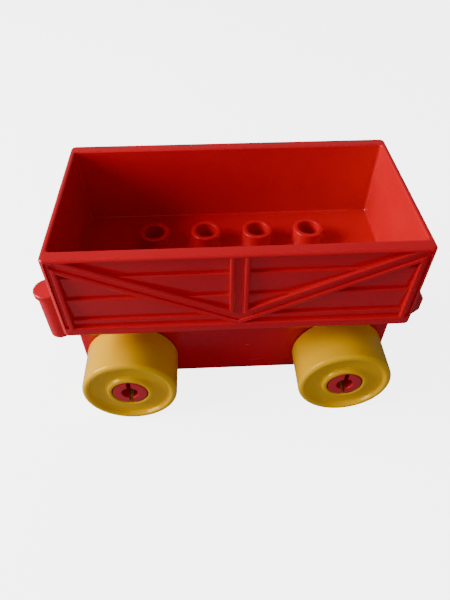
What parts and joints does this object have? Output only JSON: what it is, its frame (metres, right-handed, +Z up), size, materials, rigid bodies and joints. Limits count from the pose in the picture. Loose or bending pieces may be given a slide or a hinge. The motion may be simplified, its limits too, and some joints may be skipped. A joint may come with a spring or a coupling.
{
  "type": "toy farm wagon",
  "caption": "Open plank-sided toy box wagon with brick studs on its floor, free-turning wheels on split pins, a coupling post at the rear and a coupling eye at the front.",
  "frame": {"origin": "on the ground, below the centre of the tub, which is also the centre between the two coupling ends", "axes": "+X forward towards the coupling eye, +Y to the wagon's left, +Z up"},
  "size_m": [0.1278, 0.0612, 0.0646],
  "materials": {
    "tub_plastic": "glossy injection-moulded red with fine wear",
    "chassis_plastic": "glossy injection-moulded red",
    "wheel_plastic": "glossy injection-moulded yellow, scuffed on the tread",
    "pin_plastic": "glossy injection-moulded red"
  },
  "bodies": {
    "wagon": {"wagon_tub": "tub_plastic", "chassis": "chassis_plastic", "axle_pin_front_left": "pin_plastic", "axle_pin_front_right": "pin_plastic", "axle_pin_rear_left": "pin_plastic", "axle_pin_rear_right": "pin_plastic"},
    "front_left_wheel": {"wheel_front_left": "wheel_plastic"},
    "front_right_wheel": {"wheel_front_right": "wheel_plastic"},
    "rear_left_wheel": {"wheel_rear_left": "wheel_plastic"},
    "rear_right_wheel": {"wheel_rear_right": "wheel_plastic"}
  },
  "joints": [
    {"name": "front_left_spin", "type": "hinge", "parent": "wagon", "child": "front_left_wheel", "pos_m": [0.0327, 0, 0.0142], "axis": [0, 1, 0], "continuous": true},
    {"name": "front_right_spin", "type": "hinge", "parent": "wagon", "child": "front_right_wheel", "pos_m": [0.0327, 0, 0.0142], "axis": [0, 1, 0], "continuous": true},
    {"name": "rear_left_spin", "type": "hinge", "parent": "wagon", "child": "rear_left_wheel", "pos_m": [-0.0327, 0, 0.0142], "axis": [0, 1, 0], "continuous": true},
    {"name": "rear_right_spin", "type": "hinge", "parent": "wagon", "child": "rear_right_wheel", "pos_m": [-0.0327, 0, 0.0142], "axis": [0, 1, 0], "continuous": true}
  ]
}
